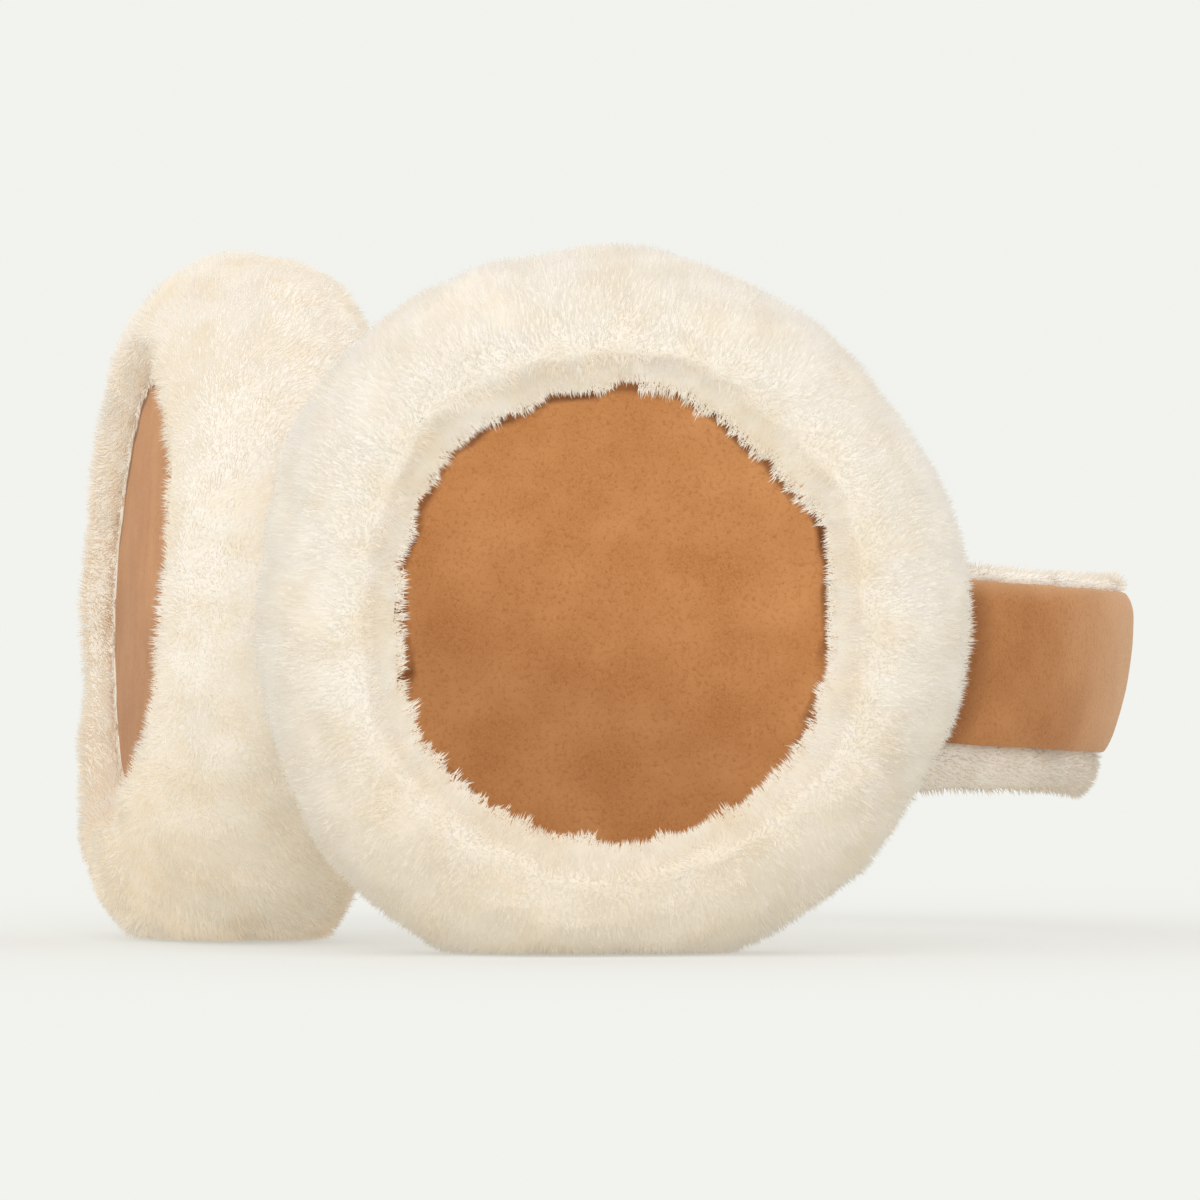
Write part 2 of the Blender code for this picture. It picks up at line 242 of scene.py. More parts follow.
class TreeBuilder:
    """Adds and joins nodes in one tree."""

    def __init__(self, tree: bpy.types.NodeTree) -> None:
        """Starts on the tree given."""
        self.tree = tree

    def node(self, kind: str, sources: Sources | None = None, **settings: object) -> Node:
        """Adds one node.

        Args:
            kind: The node's type name.
            sources: The socket that feeds each of its inputs, by the input's name.
            **settings: Properties to set on it.

        Returns:
            The new node.
        """
        made = self.tree.nodes.new(kind)
        for name, value in settings.items():
            setattr(made, name, value)
        for name, source in (sources or {}).items():
            self.join(source, made.inputs[name])
        return made

    def join(self, source: Socket, target: Socket) -> None:
        """Links one socket to another."""
        self.tree.links.new(source, target)

    def sockets(self, way: str, kinds: dict[str, str]) -> None:
        """Adds sockets to a group's tree, way being INPUT or OUTPUT, a kind by each name."""
        for name, kind in kinds.items():
            self.tree.interface.new_socket(name=name, in_out=way, socket_type="NodeSocket" + kind)


class ShaderBuilder(TreeBuilder):
    """Adds the steps that the finishes are made of."""

    def attribute(self, name: str) -> Socket:
        """The value of one of the mesh's attributes."""
        return self.node("ShaderNodeAttribute", attribute_name=name).outputs["Fac"]

    def bump(self, height: Socket, distance: float, strength: float) -> Node:
        """Adds a bump of a height: how far a height of 1 stands out, and how strongly."""
        made = self.node("ShaderNodeBump", {"Height": height})
        set_inputs(made, {"Distance": distance, "Strength": strength})
        return made

    def noise(self, where: Socket, size: float, detail: float, rough: float = 0.5) -> Socket:
        """Noise whose bumps have the size given.

        Args:
            where: The coordinates it is read at.
            size: How far apart its bumps are.
            detail: How many finer layers it has.
            rough: How strong each finer layer is.

        Returns:
            The noise's factor, from 0 to 1.
        """
        made = self.node("ShaderNodeTexNoise", {"Vector": where})
        set_inputs(made, {"Scale": 1 / size, "Detail": detail, "Roughness": rough})
        return made.outputs["Fac"]

    def ramp(
        self, factor: Socket, low: float, high: float, start: float = 0.0, end: float = 1.0
    ) -> Socket:
        """Maps a factor's span to another span.

        Args:
            factor: The number to map.
            low: The factor that gives start.
            high: The factor that gives end.
            start: The result at low.
            end: The result at high.

        Returns:
            The mapped number.
        """
        made = self.node("ShaderNodeMapRange", {"Value": factor})
        set_inputs(made, {"From Min": low, "From Max": high, "To Min": start, "To Max": end})
        return made.outputs["Result"]

    def mix(
        self, factor: Socket, first: Colour | Socket, second: Colour | Socket, blend: str = "MIX"
    ) -> Socket:
        """Mixes two colours.

        Args:
            factor: How much of the second colour shows.
            first: A colour or a colour socket.
            second: A colour or a colour socket.
            blend: The way that the colours mix.

        Returns:
            The mixed colour.
        """
        made = self.node("ShaderNodeMix", {"Factor": factor}, data_type="RGBA", blend_type=blend)
        for socket, colour in ((made.inputs[6], first), (made.inputs[7], second)):
            if isinstance(colour, Socket):
                self.join(colour, socket)
            else:
                socket.default_value = (*colour, 1.0)
        return made.outputs[2]


def new_material(name: str) -> tuple[Material, ShaderBuilder, Node, Socket]:
    """Starts a material.

    Args:
        name: The material's name.

    Returns:
        The material, a builder on its tree, its Principled shader and its Object coordinates.
    """
    material = bpy.data.materials.new(name)
    material.use_nodes = True
    shader = material.node_tree.nodes["Principled BSDF"]
    builder = ShaderBuilder(material.node_tree)
    where = builder.node("ShaderNodeTexCoord").outputs["Object"]
    return material, builder, shader, where


class WarmPatches(ShaderBuilder):
    """A node group that warms a colour in soft patches, and darkens it with painted shade where the
    attribute deep says.
    """

    INPUTS = {"Where": "Vector", "Scale": "Float", "Colour": "Color", "Warm": "Color"}
    PATCH_SPAN = (0.42, 0.68)
    PATCH_DEPTH = 0.45

    def __init__(self) -> None:
        """Builds the group once; every shearling material shares it."""
        super().__init__(bpy.data.node_groups.new("warm patches", "ShaderNodeTree"))
        self.sockets("INPUT", self.INPUTS)
        self.sockets("OUTPUT", {"Colour": "Color"})
        given = self.node("NodeGroupInput").outputs
        clouds = self.noise(given["Where"], 1.0, 3.0)
        self.join(given["Scale"], clouds.node.inputs["Scale"])
        patches = self.ramp(clouds, *self.PATCH_SPAN, 0.0, self.PATCH_DEPTH)
        colour = self.mix(patches, given["Colour"], given["Warm"], "MULTIPLY")
        # Painted shade: the warm colour is multiplied in where the deep attribute says.
        colour = self.mix(self.attribute("deep"), colour, given["Warm"], "MULTIPLY")
        self.node("NodeGroupOutput", {"Colour": colour})


@dataclass(frozen=True)
class ShearlingFinish:
    """Cream sheepskin pile: warm at the roots, pale at the tips, in soft uneven patches."""

    patches: WarmPatches
    name: str = "cream"
    tip: Colour = (0.905, 0.847, 0.765)
    root: Colour = (0.89, 0.81, 0.69)
    warm: Colour = (0.92, 0.84, 0.70)
    patch_size: float = 9 * MM
    lock_size: float = 2.2 * MM
    lock_depth: float = 0.34
    wool_size: float = 0.8 * MM
    wool_height: float = 0.6 * MM
    wool_strength: float = 0.7
    roughness: float = 0.95
    sheen: float = 0.3

    def pile_material(self) -> Material:
        """Makes the material of the pile itself, which reads how far along its strand a point is.

        Returns:
            The material.
        """
        material, build, shader, where = new_material(self.name + " pile")
        along = build.ramp(build.attribute("along"), 0.0, 0.75)
        locks = build.ramp(build.attribute("shade"), 0.0, 1.0, self.lock_depth, 0.0)
        colour = self.warmed(build, where, build.mix(along, self.root, self.tip))
        build.join(build.mix(locks, colour, self.warm, "MULTIPLY"), shader.inputs["Base Color"])
        self.matte(shader)
        return material

    def skin_material(self) -> Material:
        """Makes the material of the skin and dense underwool below the pile.

        Returns:
            The material.
        """
        material, build, shader, where = new_material(self.name + " underwool")
        locks = build.ramp(build.noise(where, self.lock_size, 4.0), 0.35, 0.65)
        colour = self.warmed(build, where, build.mix(locks, self.root, self.tip))
        build.join(colour, shader.inputs["Base Color"])
        wool = build.noise(where, self.wool_size, 3.0)
        bump = build.bump(wool, self.wool_height, self.wool_strength)
        build.join(bump.outputs["Normal"], shader.inputs["Normal"])
        self.matte(shader)
        return material

    def warmed(self, build: ShaderBuilder, where: Socket, colour: Socket) -> Socket:
        """Places the shared group with this finish's own values.

        Args:
            build: The material's builder.
            where: The coordinates that the patches are read at.
            colour: The colour to warm.

        Returns:
            The warmed colour.
        """
        sources = {"Where": where, "Colour": colour}
        made = build.node("ShaderNodeGroup", sources, node_tree=self.patches.tree)
        set_inputs(made, {"Scale": 1 / self.patch_size, "Warm": (*self.warm, 1.0)})
        return made.outputs["Colour"]

    def matte(self, shader: Node) -> None:
        """Sets the shine, which is the same all over."""
        shine = {"Roughness": self.roughness, "Specular IOR Level": 0.1}
        set_inputs(shader, {**shine, "Sheen Weight": self.sheen, "Sheen Roughness": 0.6})


@dataclass(frozen=True)
class SuedeFinish:
    """Tan suede: a fine brushed nap, mottled where it lies this way or that, paler at a glance, with
    painted shadow, and painted sheen and wear, laid on by its attributes.
    """

    main: Colour = (0.44, 0.172, 0.051)
    light: Colour = (0.575, 0.256, 0.094)
    dark: Colour = (0.32, 0.112, 0.030)
    shadow_brown: Colour = (0.13, 0.040, 0.012)
    wear_and_sheen: Colour = (0.62, 0.38, 0.21)
    cloud_size: float = 11 * MM
    nap_size: float = 0.65 * MM
    fibre_size: float = 0.3 * MM
    shadow_depth: float = 0.92
    wear_and_sheen_depth: float = 0.6
    sheen: float = 0.38
    sheen_tint: Colour = (1.0, 0.80, 0.62)

    def material(self) -> Material:
        """Makes the material of every suede piece.

        Returns:
            The material.
        """
        material, build, shader, where = new_material("tan suede nap")
        clouds = build.ramp(build.noise(where, self.cloud_size, 3.0), 0.35, 0.68)
        nap = build.ramp(build.noise(where, self.nap_size, 4.0, 0.65), 0.34, 0.66)
        fibre = build.noise(where, self.fibre_size, 2.0)
        colour = build.mix(clouds, self.main, self.light)
        colour = build.mix(build.ramp(nap, 0.0, 0.5, 0.55, 0.0), colour, self.dark)
        colour = build.mix(build.ramp(fibre, 0.35, 0.7, 0.0, 0.6), colour, self.light)
        # Painted shadow and shade, and on the headband a plain darker tone, darken the colour
        # towards shadow_brown.
        shadow_and_tone = build.ramp(build.attribute("shadow_and_tone"), 0.0, 1.0, 0.0, self.shadow_depth)
        colour = build.mix(shadow_and_tone, colour, self.shadow_brown)
        # Paler towards the wear_and_sheen colour: painted sheen and highlight on the headband, a
        # paler rim on the faces.
        wear_and_sheen = build.ramp(build.attribute("wear_and_sheen"), 0.0, 1.0, 0.0, self.wear_and_sheen_depth)
        build.join(build.mix(wear_and_sheen, colour, self.wear_and_sheen), shader.inputs["Base Color"])
        coarse = build.bump(nap, 0.25 * MM, 0.3)
        fine = build.bump(fibre, 0.1 * MM, 0.6)
        build.join(coarse.outputs["Normal"], fine.inputs["Normal"])
        build.join(fine.outputs["Normal"], shader.inputs["Normal"])
        build.join(build.ramp(nap, 0.0, 1.0, 0.98, 0.85), shader.inputs["Roughness"])
        shine = {"Specular IOR Level": 0.2, "Sheen Tint": (*self.sheen_tint, 1.0)}
        set_inputs(shader, {**shine, "Sheen Weight": self.sheen, "Sheen Roughness": 0.35})
        return material


class PileTree(TreeBuilder):
    """The Geometry Nodes tree that plants strands on a surface, leaning as its comb says."""

    INPUTS = {"Surface": "Geometry", "Strand": "Object", "Density": "Float", "Length": "Float"}
    INPUTS |= {"Width": "Float", "Stray": "Float", "Seed": "Int", "Finish": "Material"}
    LENGTHS = (0.65, 1.15)

    def __init__(self) -> None:
        """Builds the tree once; every pile shares it."""
        super().__init__(bpy.data.node_groups.new("plant pile", "GeometryNodeTree"))
        self.sockets("INPUT", self.INPUTS)
        self.sockets("OUTPUT", {"Pile": "Geometry"})
        self.strand = self.make_strand()
        self.build()

    @staticmethod
    def make_strand() -> bpy.types.Object:
        """A three-sided strand of length one along Z, one wide, closed at its tip."""
        turns = (math.pi / 3, math.pi, 5 * math.pi / 3)
        corners = [(math.cos(turn) / 2, math.sin(turn) / 2, 0.0) for turn in turns]
        mesh = bpy.data.meshes.new("strand")
        mesh.from_pydata([*corners, (0.0, 0.0, 1.0)], [], [(0, 1, 3), (1, 2, 3), (2, 0, 3)])
        write_attribute(mesh, "along", np.array([0.0, 0.0, 0.0, 1.0]))
        return bpy.data.objects.new("strand", mesh)

    def named(self, name: str, kind: str) -> Socket:
        """The value of one of the surface's attributes."""
        made = self.node("GeometryNodeInputNamedAttribute", data_type=kind)
        made.inputs["Name"].default_value = name
        return made.outputs["Attribute"]

    def math(self, how: str, first: Socket, second: Socket, kind: str = "Math") -> Socket:
        """One step of arithmetic on two numbers, or on two vectors if kind is VectorMath."""
        made = self.node("ShaderNode" + kind, operation=how)
        self.join(first, made.inputs[0])
        self.join(second, made.inputs[1])
        return made.outputs[0]

    def random(self, low: float, high: float, seed: Socket, kind: str = "FLOAT") -> Socket:
        """Adds a random number or vector for each strand.

        Args:
            low: The least number.
            high: The largest number.
            seed: The draw's seed.
            kind: FLOAT, or FLOAT_VECTOR for three numbers.

        Returns:
            The number's or vector's socket.
        """
        made = self.node("FunctionNodeRandomValue", data_type=kind)
        for name, value in (("Min", low), ("Max", high)):
            end = next(s for s in made.inputs if s.name == name and s.enabled)
            end.default_value = (value,) * 3 if kind == "FLOAT_VECTOR" else value
        self.join(seed, made.inputs["Seed"])
        return next(s for s in made.outputs if s.enabled)

    def build(self) -> None:
        """Joins the nodes from the surface to the finished pile."""
        given = self.node("NodeGroupInput").outputs
        seed = given["Seed"]
        density = self.math("MULTIPLY", given["Density"], self.named("cover", "FLOAT"))
        ground = {"Mesh": given["Surface"], "Density": density, "Seed": seed}
        scatter = self.node("GeometryNodeDistributePointsOnFaces", ground).outputs

        stray = self.node("ShaderNodeVectorMath", {"Scale": given["Stray"]}, operation="SCALE")
        self.join(self.random(-1.0, 1.0, seed, "FLOAT_VECTOR"), stray.inputs[0])
        comb = self.named("comb", "FLOAT_VECTOR")
        lean = self.math("ADD", stray.outputs[0], comb, "VectorMath")
        way = {"Vector": self.math("ADD", lean, scatter["Normal"], "VectorMath")}
        turn = self.node("FunctionNodeAlignRotationToVector", way, axis="Z").outputs["Rotation"]
        side = {"Rotation": turn, "Vector": scatter["Normal"]}
        roll = self.node("FunctionNodeAlignRotationToVector", side, axis="X", pivot_axis="Z")

        length = self.math("MULTIPLY", given["Length"], self.named("reach", "FLOAT"))
        length = self.math("MULTIPLY", length, self.random(*self.LENGTHS, seed))
        sides = {"X": given["Width"], "Y": given["Width"], "Z": length}
        size = self.node("ShaderNodeCombineXYZ", sides).outputs["Vector"]

        shade = {"data_type": "FLOAT", "domain": "POINT"}
        points = {"Geometry": scatter["Points"]}
        keep = self.node("GeometryNodeStoreNamedAttribute", points, **shade)
        keep.inputs["Name"].default_value = "shade"
        kept = next(s for s in keep.inputs if s.name == "Value" and s.enabled)
        self.join(self.random(0.0, 1.0, seed), kept)

        strand = self.node("GeometryNodeObjectInfo", {"Object": given["Strand"]})
        planted = {
            "Points": keep.outputs["Geometry"],
            "Instance": strand.outputs["Geometry"],
            "Rotation": roll.outputs["Rotation"],
            "Scale": size,
        }
        plant = self.node("GeometryNodeInstanceOnPoints", planted).outputs["Instances"]
        real = self.node("GeometryNodeRealizeInstances", {"Geometry": plant}).outputs["Geometry"]
        dressed = {"Geometry": real, "Material": given["Finish"]}
        pile = self.node("GeometryNodeSetMaterial", dressed).outputs["Geometry"]
        self.node("NodeGroupOutput", {"Pile": pile})

    def grow(self, name: str, surface: Mesh, settings: dict[str, object]) -> Mesh:
        """Grows pile on a surface that holds cover, comb, reach, deep and nap.

        Args:
            name: A name for the work.
            surface: The skin that the pile grows on.
            settings: A value for each of the tree's named inputs but Strand.

        Returns:
            The pile as a plain mesh.
        """
        ground = linked(name + "_ground", surface.copy())
        grower = ground.modifiers.new("plant pile", "NODES")
        grower.node_group = self.tree
        sockets = {item.name: item.identifier for item in self.tree.interface.items_tree}
        for socket, value in {"Strand": self.strand, **settings}.items():
            grower[sockets[socket]] = value
        mesh = evaluated_mesh(ground)
        mesh.name = name
        bpy.data.objects.remove(ground)
        return mesh


@dataclass
class CupAxes:
    """The place of one ear cup, read from its solids: its axis, suede face and lip."""

    centre: Array
    out: Array
    across: Array
    up: Array
    radius: float
    front: float
    back: float
    lip: Array
    dome: float = 1.2 * MM
    set_back: float = 3.4 * MM
    hidden_edge: float = 0.8 * MM
    clefts: tuple[float, ...] = ()
    cleft_width: float = 1.3 * MM

    @classmethod
    def of(cls, disc_node: str, fur_node: str, head: Array, steps: int = 64) -> "CupAxes":
        """Reads the axes of a cup.

        Args:
            disc_node: The suede face's node.
            fur_node: The fur's node.
            head: A point on the wearer's side of the cup.
            steps: How many steps round the cup the lip is read at.

        Returns:
            The cup's axes. front and back are heights along out from the centre.
        """
        points = node_points(disc_node)
        centre = (points.min(axis=0) + points.max(axis=0)) / 2
        out = np.linalg.svd(points - points.mean(axis=0), full_matrices=False)[2][2]
        out = out if out @ (centre - head) > 0 else -out
        across = unit(np.cross((0.0, 0.0, 1.0), out))
        height = (points - centre) @ out
        radius = np.linalg.norm((points - centre) - height[:, None] * out, axis=1).max()
        up, lip = np.cross(out, across), np.full(steps, radius)
        made = cls(centre, out, across, up, radius, height.max(), height.min(), lip)
        reach, level, turn = made.polar(node_points(fur_node))
        over = (level > made.face(reach) + 0.15 * MM) & (reach < radius)
        step = np.round(turn[over] / (2 * np.pi / steps)).astype(int) % steps
        np.minimum.at(made.lip, step, reach[over])
        return made

    def polar(self, points: Array) -> tuple[Array, Array, Array]:
        """Radius, height and turn of points about the cup's axis.

        Args:
            points: One point in each row.

        Returns:
            The radii, the heights along out, and the turns in radians.
        """
        rel = points - self.centre
        height = rel @ self.out
        east, north = rel @ self.across, rel @ self.up
        return np.hypot(east, north), height, np.arctan2(north, east)

    def spokes(self, turn: Array) -> Array:
        """Unit vectors away from the axis at the turns given."""
        return np.cos(turn)[:, None] * self.across + np.sin(turn)[:, None] * self.up

    def face(self, radius: Array) -> Array:
        """Height of the suede face's front at a distance from the axis."""
        return self.front - self.dome * np.minimum(radius / self.radius, 1.0) ** 2

    def lip_at(self, turn: Array) -> Array:
        """Radius of the fur's lip at the turns given."""
        steps = np.arange(len(self.lip)) * 2 * np.pi / len(self.lip)
        return np.interp(turn, steps, self.lip, period=2 * np.pi)

    def cleft_at(self, turn: Array) -> Array:
        """How far the pile parts at the turns given, from 0 to 1."""
        parted = np.zeros_like(turn)
        for cleft in self.clefts:
            away = np.angle(np.exp(1j * (turn - math.radians(cleft))))
            parted = np.maximum(parted, np.exp(-((away * self.radius / self.cleft_width) ** 2)))
        return parted

    def edge_at(self, turn: Array) -> Array:
        """Radius at which the skin meets the face, behind the solid's lip."""
        return np.minimum(self.lip_at(turn) + self.set_back, self.radius - self.hidden_edge)


@dataclass
class Pile:
    """Pile on one skin: where and how densely it grows, its strands and how they catch light."""

    name: str
    strands: int
    region: Region = Region.ALL
    length: float = 2.0 * MM
    width: float = 0.22 * MM
    stray: float = 0.38
    seed: int = 1
    soft: float = 0.9
    soft_span: tuple[float, float] = (-0.2, 0.5)
    floor: float = 0.15 * MM

    def grow(self, tree: PileTree, skin: Mesh, material: Material) -> bpy.types.Object:
        """Plants the strands and softens the way that they catch the light.

        Args:
            tree: The tree that plants the strands.
            skin: The surface, with its attributes cover, comb, reach, deep and nap.
            material: The pile's material.

        Returns:
            The pile as an object at the origin.
        """
        strand = {"Length": self.length, "Width": self.width, "Stray": self.stray}
        density = self.strands / self.covered_area(skin)
        settings = {"Density": density, "Seed": self.seed, "Finish": material, **strand}
        mesh = tree.grow(self.name, skin, settings)
        points = positions(mesh)
        points[:, 2] = np.maximum(points[:, 2], self.floor)
        move_to(mesh, points)
        facing = self.softened(mesh)
        drop_attributes(mesh, GUIDES)
        mesh.shade_smooth()
        mesh.normals_split_custom_set(facing.tolist())
        made = linked(self.name, mesh)
        made.visible_shadow = False
        made.visible_diffuse = False
        return made

    def softened(self, mesh: Mesh) -> Array:
        """The normals that the strands catch light with.

        A strand's outward side takes the skin's own direction, so that the pile reads as one soft
        surface, and its other sides keep theirs.

        Args:
            mesh: The strands, each of triangles, with the skin's direction as the attribute nap.

        Returns:
            One normal for each corner of each face.
        """
        corners = np.empty(len(mesh.loops), np.int32)
        mesh.loops.foreach_get("vertex_index", corners)
        nap = rows_of(mesh.attributes["nap"].data, "vector")[corners]
        own = np.repeat(rows_of(mesh.polygons, "normal"), 3, axis=0)
        share = self.soft * smooth_step((nap * own).sum(axis=1), *self.soft_span)[:, None]
        return unit(share * nap + (1 - share) * own)

    @staticmethod
    def covered_area(skin: Mesh) -> float:
        """The skin's area, each part counted as far as its cover attribute covers it."""
        cover = rows_of(skin.attributes["cover"].data, "value", 1)[:, 0]
        return sum(face.area * cover[list(face.vertices)].mean() for face in skin.polygons)


@dataclass
class FurPiece:
    """A padded shearling piece: a smooth dense skin and the piles that grow on it."""

    node: str
    piles: tuple[Pile, ...]
    neighbours: tuple[str, ...]
    face_node: str = ""
    axes: CupAxes | None = None
    voxel: float = 1.5 * MM
    inset: float = 1.3 * MM
    lump: float = 0.5 * MM
    lie: float = 0.65
    band_tilt: float = 0.3
    rim_tilt: float = 0.45
    fringe_tilt: float = 1.4
    half_depth: float = 10 * MM
    rim_width: float = 6 * MM
    hollow_shade_width: float = 9 * MM
    turned_width: float = 11 * MM
    fringe_width: float = 3 * MM
    fill: float = 0.85
    bare_gap: float = 0.35 * MM
    closing: float = 3.5 * MM
    shaded: float = 0.42
    shaded_from: float = 55 * MM
    shaded_to: float = 5 * MM
    bare: Array = field(init=False)

    def build(self, tree: PileTree, finish: ShearlingFinish) -> None:
        """Makes the skin and every pile on it.

        Args:
            tree: The tree that plants the strands.
            finish: The shearling's finish.
        """
        skin = self.make_skin()
        self.bare = self.bare_share(skin.data)
        pile_material = finish.pile_material()
        for pile in self.piles:
            self.comb(skin.data, pile)
            grown = pile.grow(tree, skin.data, pile_material)
            self.clear_face(grown.data)
            dress(grown, pile_material)
        drop_attributes(skin.data, GUIDES)
        dress(skin, finish.skin_material())
        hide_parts(self.node)

    def make_skin(self) -> bpy.types.Object:
        """Makes the solid's form even and fine, drawn in by the pile's depth and gently lumpy.

        Returns:
            The skin as an object at the origin.
        """
        name = self.node + "_skin"
        work = linked(name, self.joined_solids(name))
        even = work.modifiers.new("even", "REMESH")
        even.mode = "VOXEL"
        even.voxel_size = self.voxel
        even.use_smooth_shade = True
        calm = work.modifiers.new("calm", "SMOOTH")
        calm.factor = 0.5
        calm.iterations = 4
        made = evaluated_mesh(work)
        made.name = name
        bpy.data.objects.remove(work)
        points, axes = positions(made), self.axes
        free = self.free_share(points)
        bumps = self.lump * free * (grain(points, 7 * MM) + 0.6 * grain(points, 3.5 * MM, 5.0))
        inset = self.inset * free
        if axes is not None:
            radius, height, turn = axes.polar(points)
            past_lip = radius - axes.lip_at(turn)
            back = smooth_step(past_lip, 9 * MM, 1 * MM) * smooth_step(past_lip, -12 * MM, -4 * MM)
            back = back * (height > axes.back)
            back = back * (axes.edge_at(turn) - axes.lip_at(turn))
            points += back[:, None] * axes.spokes(turn)
        points += normals(made) * (bumps - inset)[:, None]
        if axes is not None:
            under = self.under_face(points)
            radius, height, turn = axes.polar(points)
            points[under] += (axes.back - 0.4 * MM - height[under])[:, None] * axes.out
            least = axes.face(radius) + 0.5 * MM
            dips = ~under & (radius < axes.radius) & (height < least)
            dips &= height > axes.back
            points[dips] += (least - height)[dips, None] * axes.out
        points[:, 2] = np.maximum(points[:, 2], 0.3 * MM)
        move_to(made, points)
        return linked(name, made)

    def free_share(self, points: Array) -> Array:
        """How free of the band points are: 0 where a cup's skin closes round it, else 1."""
        if self.axes is None:
            return np.ones(len(points))
        gaps = [gap_to(neighbour, points, self.closing) for neighbour in self.neighbours]
        return smooth_step(np.min(gaps, axis=0), 0.5 * MM, self.closing)

    def joined_solids(self, name: str) -> Mesh:
        """The piece's own solid, and the face's with it, so that its pocket is closed."""
        shell = welded_solids(tuple(filter(None, (self.node, self.face_node))))
        mesh = bpy.data.meshes.new(name)
        shell.to_mesh(mesh)
        shell.free()
        return mesh

    def under_face(self, points: Array) -> Array:
        """Which points lie below the open part of the suede face."""
        axes = self.axes
        radius, height, turn = axes.polar(points)
        inside = radius < axes.edge_at(turn) - 0.6 * MM
        return inside & (height < axes.front + 0.6 * MM) & (height > axes.back - 3 * MM)

    def bare_share(self, mesh: Mesh) -> Array:
        """How bare the skin is, from 0 to 1: below the face, by the band and on the floor."""
        points = positions(mesh)
        bare = 0.9 * smooth_step(points[:, 2], 1.2 * MM, 0.4 * MM) * (normals(mesh)[:, 2] < -0.8)
        for neighbour in self.neighbours:
            gap = gap_to(neighbour, points, 2 * MM)
            bare = np.maximum(bare, smooth_step(gap, self.bare_gap + 0.5 * MM, self.bare_gap))
        if self.axes is not None:
            bare = np.maximum(bare, self.under_face(points))
        return bare

    def comb(self, mesh: Mesh, pile: Pile) -> None:
        """Stores on the skin where one pile grows, which way it lies and how long it is, and the
        painted shade that its material reads.

        Args:
            mesh: The skin.
            pile: The pile that it is combed for.
        """
        points, facing = positions(mesh), normals(mesh)
        values = {
            "cover": 1.0 - self.bare,
            "comb": 0.5 * drift(points, 5 * MM) + 0.4 * drift(points, 14 * MM, 3.0),
            "reach": 1.0 + 0.18 * grain(points, 6 * MM, 9.0),
            # deep is painted shade, growing towards the bottom of the piece from shaded_from down to
            # shaded_to.
            "deep": self.shaded * smooth_step(points[:, 2], self.shaded_from, self.shaded_to),
            "nap": facing,
        }
        if self.axes is None:
            outward = unit(points * (1, 1, 0))
            values["comb"] += self.lie * outward
            values["nap"] = unit(facing + self.band_tilt * outward)
        else:
            self.comb_cup(values, points, facing, pile.region)
        drop_attributes(mesh, tuple(values))
        for name, value in values.items():
            write_attribute(mesh, name, value)

    def comb_cup(self, values: Arrays, points: Array, facing: Array, region: Region) -> None:
        """Combs a cup's pile outwards, and into an uneven fringe over its suede face, and adds
        painted shade in the hollow round the face.

        Args:
            values: The attributes by name, which are changed.
            points: The skin's vertices.
            facing: The skin's normals.
            region: Where the pile grows.
        """
        axes = self.axes
        radius, height, turn = axes.polar(points)
        spokes = axes.spokes(turn)
        past_edge = radius - axes.edge_at(turn)
        above = height > axes.face(radius) - 1 * MM
        rim = smooth_step(past_edge, self.rim_width, 1 * MM) * above
        # Painted shade: warmer and darker in uneven patches in the hollow round the suede face,
        # added to deep.
        hollow_shade = 0.33 + 0.3 * grain(points, 9 * MM, 12.0) + 0.35 * grain(points, 3 * MM, 15.0)
        hollow_shade = hollow_shade * smooth_step(past_edge, self.hollow_shade_width, 0.5 * MM) * above
        values["deep"] = np.maximum(values["deep"], hollow_shade)
        tilt = self.fringe_tilt if region is Region.LIP else self.rim_tilt
        values["nap"] = unit(facing + tilt * rim[:, None] * axes.out)
        values["cover"] *= 1 - axes.cleft_at(turn) * (past_edge < 2 * MM) * above
        if region is Region.LIP:
            low = smooth_step(height - axes.face(radius), 2.6 * MM, 1.4 * MM)
            values["cover"] *= above * low * (past_edge < self.fringe_width)
            values["comb"] = 0.9 * drift(points, 2.4 * MM) - spokes + 0.15 * axes.out
            values["reach"] = 1.0 + 0.45 * np.clip(1.6 * grain(points, 3.2 * MM, 2.0), -1, 1)
            return
        middle = axes.back - self.half_depth
        outer = smooth_step(height, middle - 0.5 * MM, middle + 0.5 * MM)
        values["cover"] *= outer if region is Region.OUTER else 1 - outer
        away, ahead = (facing * spokes).sum(axis=1), facing @ axes.out
        flow = ahead[:, None] * spokes - away[:, None] * axes.out
        over = (smooth_step(past_edge, self.turned_width, 0.5 * MM) * above)[:, None]
        tufts = 0.9 * drift(points, 2.6 * MM, 7.0)
        values["comb"] += self.lie * (1 - over) * flow + over * (tufts - 0.4 * spokes)
        values["reach"] *= 1 - 0.15 * rim

    def clear_face(self, mesh: Mesh) -> None:
        """Lifts strands that dip below the suede face's surface."""
        if self.axes is None:
            return
        points, axes = positions(mesh), self.axes
        radius, height, turn = axes.polar(points)
        least = axes.face(radius) + 0.3 * MM
        low = (radius < axes.edge_at(turn)) & (height < least)
        low &= height > axes.back - 1 * MM
        uneven = 0.5 * MM * np.abs(grain(points[low], 0.7 * MM))
        points[low] += ((least - height)[low] + uneven)[:, None] * axes.out
        move_to(mesh, points)


